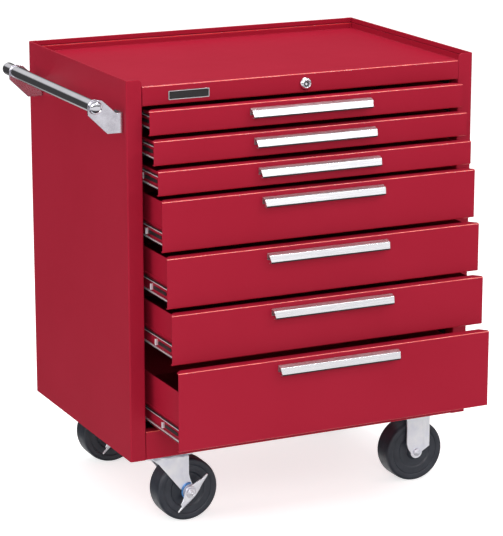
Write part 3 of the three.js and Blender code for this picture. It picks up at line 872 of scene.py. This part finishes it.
def handle_bracket(end):
    """Strap with an eye round the bar, bent back to a riveted flange on the side panel."""
    name = f"handle_bracket_{end}"
    low, high = where(name)
    x, _, z = axis_of("handle_bar")
    eye, hole, eye_steps = 14.2, 12.7, 20
    sheet, fold_radius, flange_tall = 3, 4.5, 38
    top = low.z + flange_tall
    fold = high.x - fold_radius
    shoulder, heel = (x + 15, z + 11), (x - 13.5, z - 14.6)
    start = tangent_angle(shoulder, (x, z), eye, 1)
    stop = tangent_angle(heel, (x, z), eye, -1) + 360
    outline = [(fold, low.z), (fold, top), (high.x - 14, top), shoulder,
               *arc((x, z), eye, start, stop, eye_steps), heel, (high.x - 31, low.z)]
    rounds = [0, 0, 3, 4] + [0] * (eye_steps + 1) + [4, 2.5]
    mid = low.y + sheet / 2
    shape = Shape()
    shape.plate(fillet(outline, rounds, 5, True), [arc((x, z), hole, 0, 354, 59)], sheet,
                lambda u, v, w: (u, mid + w, v), 0.4)
    bent = [(fold - 1, low.y + LIFT), (high.x, low.y + LIFT), (high.x, high.y)]
    shape.along_z(strip_section(fillet(bent, fold_radius, 8), -sheet), (low.z, top))
    rivet_y = high.y - 13
    for rivet_z in (low.z + 10, low.z + 28):
        shape.loft([[(high.x - sheet - out, u, v)
                     for u, v in arc((rivet_y, rivet_z), radius, 0, 345, 23)]
                    for radius, out in ((4.6, 0.0), (4.6, 0.5), (4.0, 1.4), (2.6, 2.1), (0.8, 2.4))])
    shape.piece(f"{name}_plated", "cabinet", "chrome", [SATIN], [name], edge=0.3)


for end in ("front", "rear"):
    handle_bracket(end)

# ---------- casters ----------


def wheel_piece(node, body):
    """Moulded wheel: rounded tread, stepped rings and a bored hub."""
    radius, hub = half_size(node).z, half_size(node).y
    half = hub - 2.5
    bore = 5.4
    face = [(bore, hub), (14, hub), (15.6, hub - 0.8), (16.4, half - 2.5), (18.5, half - 4.2),
            (33, half - 4.6), (34.2, half - 4.2), (35.4, half - 2.4), (37, half - 1.8),
            (47.5, half - 1.2), (48.3, half - 1.9), (49.4, half - 1.9), (50.2, half - 0.6),
            (54, half), (58.2, half), (60.6, half - 0.8), (62.2, half - 2.6),
            (radius - 0.35, half - 5.6), (radius, half - 9)]
    other = [(r, -y) for r, y in face]
    shape = Shape()
    shape.lathe(other + list(reversed(face)), middle(node), "y", 96, ring=True)
    shape.piece(f"{node}_moulded", body, "wheel_rubber", [RUBBER], [node], angle=50)


def axle_piece(node, body, pin):
    """Riveted axle: a narrow peened end or a broad domed head at the front, a head at the back."""
    low, high = where(node)
    if pin:
        head = [(0.5, 1.2), (1.5, 0.4), (2.2, 0), (3.7, 0.3), (4.3, 1.2), (4.5, 3.2), (6.6, 3.4),
                (7.4, 3.9)]
    else:
        head = [(0.5, 0), (3.2, 0.3), (5.8, 1.1), (7.1, 2.2), (7.5, 3.4)]
    head += [(7.5, 4.9), (4.8, 4.9)]
    x, _, z = axis_of(node)
    shape = Shape()
    shape.lathe(head + [(4.8, high.y - 3 - low.y)], (x, low.y, z), "y", 48)
    shape.lathe([(8, -4), (8, -2.2), (6.6, -0.8), (3.6, -0.1), (0.8, 0)], (x, high.y, z), "y", 40)
    shape.piece(f"{node}_bolt", body, "zinc_plate", [ZINC], [node], edge=0.2)


# The forks: sheet, half the width over the legs, and the crown's bend.
FORK_SHEET = 3
FORK_HALF = 31
FORK_BEND = 6

# Steps along a leg below the axle and again above it, round the crown's bend, and across the sheet.
LEG_STEPS = 8
CROWN_STEPS = 5
FORK_COLUMNS = 30

# A leg's foot starts this far above its lowest point.
FOOT_LIFT = 0.1

# The rib pressed out of each leg: how far out, half its width, and the height over which it starts.
RIB_OUT = 1.7
RIB_WIDTH = 2.6
RIB_START = 10


def bent_fork(shape, stations, rib, rib_low):
    """A U of sheet: stations are (y, z, lowest x, highest x) along its outer face.

    A shallow rib is pressed out of each leg at x = rib, from rib_low up to the crown.
    """
    path = [(y, z) for y, z, _, _ in stations]
    inner = offset(path, FORK_SHEET)
    heart = (path[0][0] + path[-1][0]) / 2
    half = abs(path[0][0] - heart)
    loops = []
    for (y, z, x0, x1), (v, w) in zip(stations, inner):
        run = [x0 + (x1 - x0) * i / FORK_COLUMNS for i in range(FORK_COLUMNS + 1)]
        on_leg = min(max((abs(y - heart) - half + 2) / 2, 0), 1)
        swell = RIB_OUT * on_leg * min(max((z - rib_low) / RIB_START, 0), 1)
        way = 1 if y > heart else -1
        lift = [way * swell * math.exp(-((x - rib) / RIB_WIDTH) ** 2) for x in run]
        outside = [(x, y + h, z) for x, h in zip(run, lift)]
        inside = [(x, v + h, w) for x, h in zip(run, lift)]
        loops.append(outside + list(reversed(inside)))
    shape.loft(loops)


def round_foot(axle, foot, z):
    """Lowest and highest x of a leg's rounded foot, at a height below the axle."""
    reach = math.sqrt(max(foot ** 2 - (z - axle.z) ** 2, 0.6))
    return axle.x - reach, axle.x + reach


def leg_stations(y, crown, axle_z, outline, foot):
    """Outer-face stations from one leg's foot, up, over the crown and down to the other foot."""
    up = [foot + (axle_z - foot) * (1 - math.cos(math.pi / 2 * step / LEG_STEPS))
          for step in range(LEG_STEPS + 1)]
    up += [axle_z + (crown - FORK_BEND - axle_z) * step / LEG_STEPS
           for step in range(1, LEG_STEPS + 1)]
    one = [(y - FORK_HALF, z, *outline(z)) for z in up]
    turn = arc((y - FORK_HALF + FORK_BEND, crown - FORK_BEND), FORK_BEND, 180, 90, CROWN_STEPS)
    one += [(v, z, *outline(z)) for v, z in turn[1:]]
    two = [(2 * y - a, b, c, d) for a, b, c, d in reversed(one)]
    return one + two


def swivel_fork(end):
    """Raked fork of a swivel caster, with the lower raceway's dish on its crown."""
    node = f"swivel_fork_{end}"
    crown = where(node)[1].z
    plate_mid = middle(f"swivel_plate_{end}")
    axle = middle(f"swivel_axle_{end}")
    kingpin = plate_mid.x
    foot = 14.0

    def outline(z):
        height = z - axle.z
        if height <= 0:
            return round_foot(axle, foot, z)
        share = min(height / (crown - axle.z), 1)
        flare = max((share - 0.84) / 0.16, 0)
        rear = axle.x - foot + (kingpin - 22 - (axle.x - foot)) * min(share / 0.88, 1) - 10 * flare
        front = kingpin + 44 + 14 * max(1 - share / 0.45, 0) ** 1.3
        return rear, min(front, axle.x + foot)

    shape = Shape()
    wheel_y = middle(f"swivel_wheel_{end}").y
    stations = leg_stations(wheel_y, crown, axle.z, outline, axle.z - foot + FOOT_LIFT)
    bent_fork(shape, stations, kingpin + 31, axle.z + 22)
    shape.lathe([(6, -6.2), (7.4, -5.6), (7.4, -3.2), (30, -3.6), (34.2, -3.0), (35, -1.8),
                 (34.4, -0.4), (33, 0)], (kingpin, plate_mid.y, crown), "z", 64)
    shape.piece(f"{node}_pressed", f"caster_fork_{end}", "zinc_plate", [ZINC], [node],
                edge=0.5)


# The mounting plates: thickness, corner radius, the bolts' distance from the edges, and a bolt
# head's loops as (corner radius, below the plate).
PLATE_SHEET = 4
PLATE_CORNER = 9
BOLT_IN = 9
BOLT_HEAD = [(7.2, -0.2), (7.2, 3.0), (6.2, 3.8)]


def caster_plate(shape, node):
    """Rounded mounting plate with four bolt heads under it."""
    top = where(node)[1].z
    mid = middle(node)
    half = half_size(node)
    shape.plate(rectangle(half.x, half.y, PLATE_CORNER, BEND_STEPS), [], PLATE_SHEET,
                lambda u, v, w: (mid.x + u, mid.y + v, top - PLATE_SHEET / 2 + w), 0.6)
    under = top - PLATE_SHEET
    for side_x in (-1, 1):
        for side_y in (-1, 1):
            heart = (mid.x + side_x * (half.x - BOLT_IN), mid.y + side_y * (half.y - BOLT_IN))
            shape.loft([[(u, v, under - down) for u, v in arc(heart, radius, 15, 315, 5)]
                        for radius, down in BOLT_HEAD])


def swivel_plate(end):
    """Top plate with the upper raceway pressed round it."""
    node = f"swivel_plate_{end}"
    low, high = where(node)
    mid = middle(node)
    shape = Shape()
    caster_plate(shape, node)
    race_top = high.z - PLATE_SHEET + 0.4 - low.z
    shape.lathe([(20, 0), (27.5, 0), (30.4, 0.6), (31.8, 2.2), (32, 4), (31.0, 5.8),
                 (33.5, race_top), (20, race_top)], (mid.x, mid.y, low.z), "z", 64, ring=True)
    shape.piece(f"{node}_pressed", "cabinet", "zinc_plate", [ZINC], [node], edge=0.3)


def rigid_fork(end):
    """Top plate with two straight legs that taper to a rounded foot at the axle."""
    node = f"rigid_fork_{end}"
    low, high = where(node)
    axle = middle(f"rigid_axle_{end}")
    shape = Shape()
    caster_plate(shape, node)
    foot = axle.z - low.z
    crown = high.z - 3.2

    def outline(z):
        height = z - axle.z
        if height <= 0:
            return round_foot(axle, foot, z)
        left = foot + (22 - foot) * min(height / 14, 1)
        right = foot + (30 - foot) * min((height + 3) / 13, 1)
        flare = max((z - (crown - 14)) / 14, 0) ** 2 * 6
        return axle.x - left - flare, axle.x + right

    stations = leg_stations(middle(node).y, crown, axle.z, outline, low.z + FOOT_LIFT)
    bent_fork(shape, stations, axle.x + 17, axle.z + 14)
    shape.piece(f"{node}_pressed", "cabinet", "zinc_plate", [ZINC], [node], edge=0.5)


# The brake lever's outline along its tilted length and across it, its corners' roundings, its tilt,
# and its boss as (radius, back from the front face) and then as (radius, back from the rear face).
WINGS = [(-46.5, -11), (-46, -8.5), (-33, -7.5), (-32, -3.5), (-19, 1), (-10, 8), (0, 13),
         (15, 6), (30, 2.5), (33, 0.5), (46, 0.4), (48.5, -1), (47, -3), (34, -6), (22, -9),
         (14, -12), (0, -14.5), (-14, -14), (-24, -12.7)]
WING_ROUNDS = [1.5, 1.5, 1, 1, 8, 8, 8, 8, 1.5, 1.5, 1, 1, 1, 8, 8, 8, 8, 8, 8]
LEVER_TILT = math.radians(43)
BOSS = [(5.3, 2.4), (5.6, 1.2), (6.4, 0.8), (8.2, 0.8), (8.7, 1.4), (9.1, 1.4), (9.6, 0.3),
        (10.4, 0), (11.3, 0.3), (11.9, 1.0), (12.2, 2.2)]
BOSS_REAR = [(12.2, -0.6), (11.6, 0), (5.3, 0)]


def brake_lever(end):
    """Pressed foot lever: a boss round the axle and two stepped wings that taper to blunt tips."""
    node = f"brake_lever_{end}"
    axle = middle(f"swivel_axle_{end}")
    mid = middle(node).y
    half = half_size(node).y
    along, across = math.cos(LEVER_TILT), math.sin(LEVER_TILT)

    def place(u, v, w):
        reach = math.hypot(u, v)
        lean = 1.6 * min(max((reach - 18) / 30, 0), 1)
        return (axle.x + u * along - v * across, mid + w + 0.4 - lean,
                axle.z + u * across + v * along)

    shape = Shape()
    outline = list(reversed(fillet(WINGS, WING_ROUNDS, 5, True)))
    shape.plate(outline, [arc((0, 0), 9, 0, 350, 35)], 4.2, place, 1.3)
    profile = [(r, y - half) for r, y in BOSS] + [(r, y + half) for r, y in BOSS_REAR]
    shape.lathe(profile, (axle.x, mid, axle.z), "y", 56, ring=True)
    shape.piece(f"{node}_pressed", f"brake_lever_{end}", "zinc_plate", [ZINC], [node], angle=50)


def brake_spring(end):
    """Blue spring clip round the back of the lever's boss."""
    axle = middle(f"swivel_axle_{end}")
    y = where(f"brake_lever_{end}")[1].y + 0.45
    inner, outer, width = 15.2, 18.4, 2.6
    loops = []
    for angle in range(85, 236, 10):
        u, v = math.cos(math.radians(angle)), math.sin(math.radians(angle))
        loops.append([(axle.x + r * u, y + h, axle.z + r * v)
                      for r, h in ((inner, -width), (outer, -width), (outer, 0), (inner, 0))])
    shape = Shape()
    shape.loft(loops)
    shape.piece(f"brake_spring_{end}", f"brake_lever_{end}", "zinc_plate", [BLUE], edge=0.4)


for end in ("front", "rear"):
    swivel_plate(end)
    swivel_fork(end)
    axle_piece(f"swivel_axle_{end}", f"caster_fork_{end}", True)
    wheel_piece(f"swivel_wheel_{end}", f"caster_wheel_{end}")
    brake_lever(end)
    brake_spring(end)
    rigid_fork(end)
    axle_piece(f"rigid_axle_{end}", "cabinet", False)
    wheel_piece(f"rigid_wheel_{end}", f"rigid_wheel_{end}")

# ---------- studio ----------


# Each light's place, the point it faces, its size in metres and its power in watts.
LIGHTS = {
    "edge_strip": ((1.45, -2.25, 2.75), (0, 0, 0.5), (1.4, 0.12), 16),
    "overhead": ((0.0, 0.2, 4.2), (0, 0.2, 0.8), (2.2, 2.2), 100),
    "key": ((-1.4, -3.7, 2.2), (0, 0, 0.5), (1.6, 1.6), 51),
    "left_fill": ((-4.0, 0.0, 1.8), (0, 0, 0.5), (1.6, 1.6), 29),
}

# Strength of the surroundings as they light the object, not as reflections or the camera see them.
AMBIENT = 0.53

# The greys that reflections see in front, and behind on the right and on the left, each at its
# share of the height from straight down to straight up.
IN_FRONT = {0.0: 0.03, 0.225: 0.03, 0.29: 0.80, 0.455: 0.85, 0.475: 0.10, 0.54: 0.10, 0.565: 0.95}
REAR_RIGHT = {0.0: 0.85, 0.285: 0.85, 0.32: 0.055, 1.0: 0.10}
REAR_LEFT = {0.0: 0.85, 0.285: 0.85, 0.32: 0.055, 0.60: 0.055, 0.65: 0.66}

# Where left turns into right and front into rear, as shares across.
SIDE_TURN = (0.56, 0.68)
DEPTH_TURN = (0.45, 0.65)


def area_light(name, location, target, size, power):
    data = bpy.data.lights.new(name, "AREA")
    data.shape = "RECTANGLE"
    data.size, data.size_y = size
    data.energy = power
    lamp = bpy.data.objects.new(name, data)
    bpy.context.scene.collection.objects.link(lamp)
    lamp.location = location
    aim = Vector(target) - Vector(location)
    lamp.rotation_euler = aim.to_track_quat("-Z", "Y").to_euler()


def studio():
    """White surroundings and four soft lights; reflections see bright and dark bands."""
    world = bpy.data.worlds.new("studio")
    bpy.context.scene.world = world
    world.use_nodes = True
    tree = world.node_tree
    plain = tree.nodes["Background"]
    plain.inputs["Color"].default_value = (1.0, 1.0, 1.0, 1)
    plain.inputs["Strength"].default_value = AMBIENT
    seen = tree.nodes.new("ShaderNodeBackground")
    seen.inputs["Color"].default_value = (1.0, 1.0, 1.0, 1)
    coords = tree.nodes.new("ShaderNodeTexCoord")
    split = tree.nodes.new("ShaderNodeSeparateXYZ")
    tree.links.new(coords.outputs["Generated"], split.inputs["Vector"])
    height = offset_value(tree, split.outputs["Z"])
    front, right, left = (ramp(tree, height, list(greys), greys.values())
                          for greys in (IN_FRONT, REAR_RIGHT, REAR_LEFT))
    leftward = ramp(tree, offset_value(tree, split.outputs["X"]), SIDE_TURN, (1.0, 0.0))
    back = mix(tree, leftward, right, left)
    depth = ramp(tree, offset_value(tree, split.outputs["Y"]), DEPTH_TURN, (0.0, 1.0))
    mirrored = tree.nodes.new("ShaderNodeBackground")
    tree.links.new(mix(tree, depth, front, back), mirrored.inputs["Color"])
    path = tree.nodes.new("ShaderNodeLightPath")
    shared = blend(tree, path.outputs["Is Glossy Ray"], plain, mirrored)
    whole = blend(tree, path.outputs["Is Camera Ray"], shared, seen)
    tree.links.new(whole.outputs[0], tree.nodes["World Output"].inputs["Surface"])
    for name, (location, target, size, power) in LIGHTS.items():
        area_light(name, location, target, size, power)


def blend(tree, share, first, second):
    node = tree.nodes.new("ShaderNodeMixShader")
    tree.links.new(share, node.inputs[0])
    tree.links.new(first.outputs[0], node.inputs[1])
    tree.links.new(second.outputs[0], node.inputs[2])
    return node


def offset_value(tree, value):
    """A direction's component, moved from -1..1 to 0..1."""
    node = tree.nodes.new("ShaderNodeMath")
    node.operation = "MULTIPLY_ADD"
    node.inputs[1].default_value = 0.5
    node.inputs[2].default_value = 0.5
    tree.links.new(value, node.inputs[0])
    return node.outputs[0]


def mix(tree, share, first, second):
    node = tree.nodes.new("ShaderNodeMix")
    node.data_type = "RGBA"
    factor, first_colour, second_colour = (node.inputs[i] for i in (0, 6, 7))
    tree.links.new(share, factor)
    tree.links.new(first, first_colour)
    tree.links.new(second, second_colour)
    return node.outputs[2]


FLOOR_REACH = 14

# The floor's own glow, for other rays and for the camera.
FLOOR_GLOW = (0.18, 0.85)


def floor():
    """Plain pale floor."""
    mesh = bpy.data.meshes.new("floor")
    corners = [(-1, -1), (1, -1), (1, 1), (-1, 1)]
    mesh.from_pydata([(x * FLOOR_REACH, y * FLOOR_REACH, 0) for x, y in corners], [],
                     [(0, 1, 2, 3)])
    ground = bpy.data.objects.new("floor", mesh)
    bpy.context.scene.collection.objects.link(ground)
    material, tree, shader = new_material("studio_floor")
    shade = ramp(tree, noise(tree, 3, 3), SPREAD, (0.78, 0.80))
    tree.links.new(shade, shader.inputs["Base Color"])
    tree.links.new(shade, shader.inputs["Emission Color"])
    path = tree.nodes.new("ShaderNodeLightPath")
    glow = ramp(tree, path.outputs["Is Camera Ray"], (0.0, 1.0), FLOOR_GLOW)
    tree.links.new(glow, shader.inputs["Emission Strength"])
    shader.inputs["Roughness"].default_value = 0.85
    mesh.materials.append(material)
    ground.visible_glossy = False


studio()
floor()

# The camera looks from the front left, from a little above, at a point near the cabinet's middle.
# Angles are in degrees, distances in metres, the lens and its sensor in millimetres.
VIEW_AZIMUTH = -25.6
VIEW_ELEVATION = 14.6
VIEW_DISTANCE = 4.8706
AIM_RIGHT = 0.008
AIM_UP = -0.0832
LENS = 161.4
SENSOR = 36


def camera():
    data = bpy.data.cameras.new("camera")
    data.lens = LENS
    data.sensor_width = SENSOR
    view = bpy.data.objects.new("camera", data)
    bpy.context.scene.collection.objects.link(view)
    azimuth, elevation = math.radians(VIEW_AZIMUTH), math.radians(VIEW_ELEVATION)
    back = Vector((math.sin(azimuth) * math.cos(elevation),
                   -math.cos(azimuth) * math.cos(elevation), math.sin(elevation)))
    right = Vector((math.cos(azimuth), math.sin(azimuth), 0))
    up = back.cross(right)
    heart = CENTRE + Vector((0, 0, (BASE + RIM) / 2 * MM))
    view.location = heart + back * VIEW_DISTANCE + right * AIM_RIGHT + up * AIM_UP
    view.rotation_euler = Matrix((right, up, back)).transposed().to_euler()
    bpy.context.scene.camera = view


camera()
bpy.context.scene.view_settings.view_transform = "Standard"
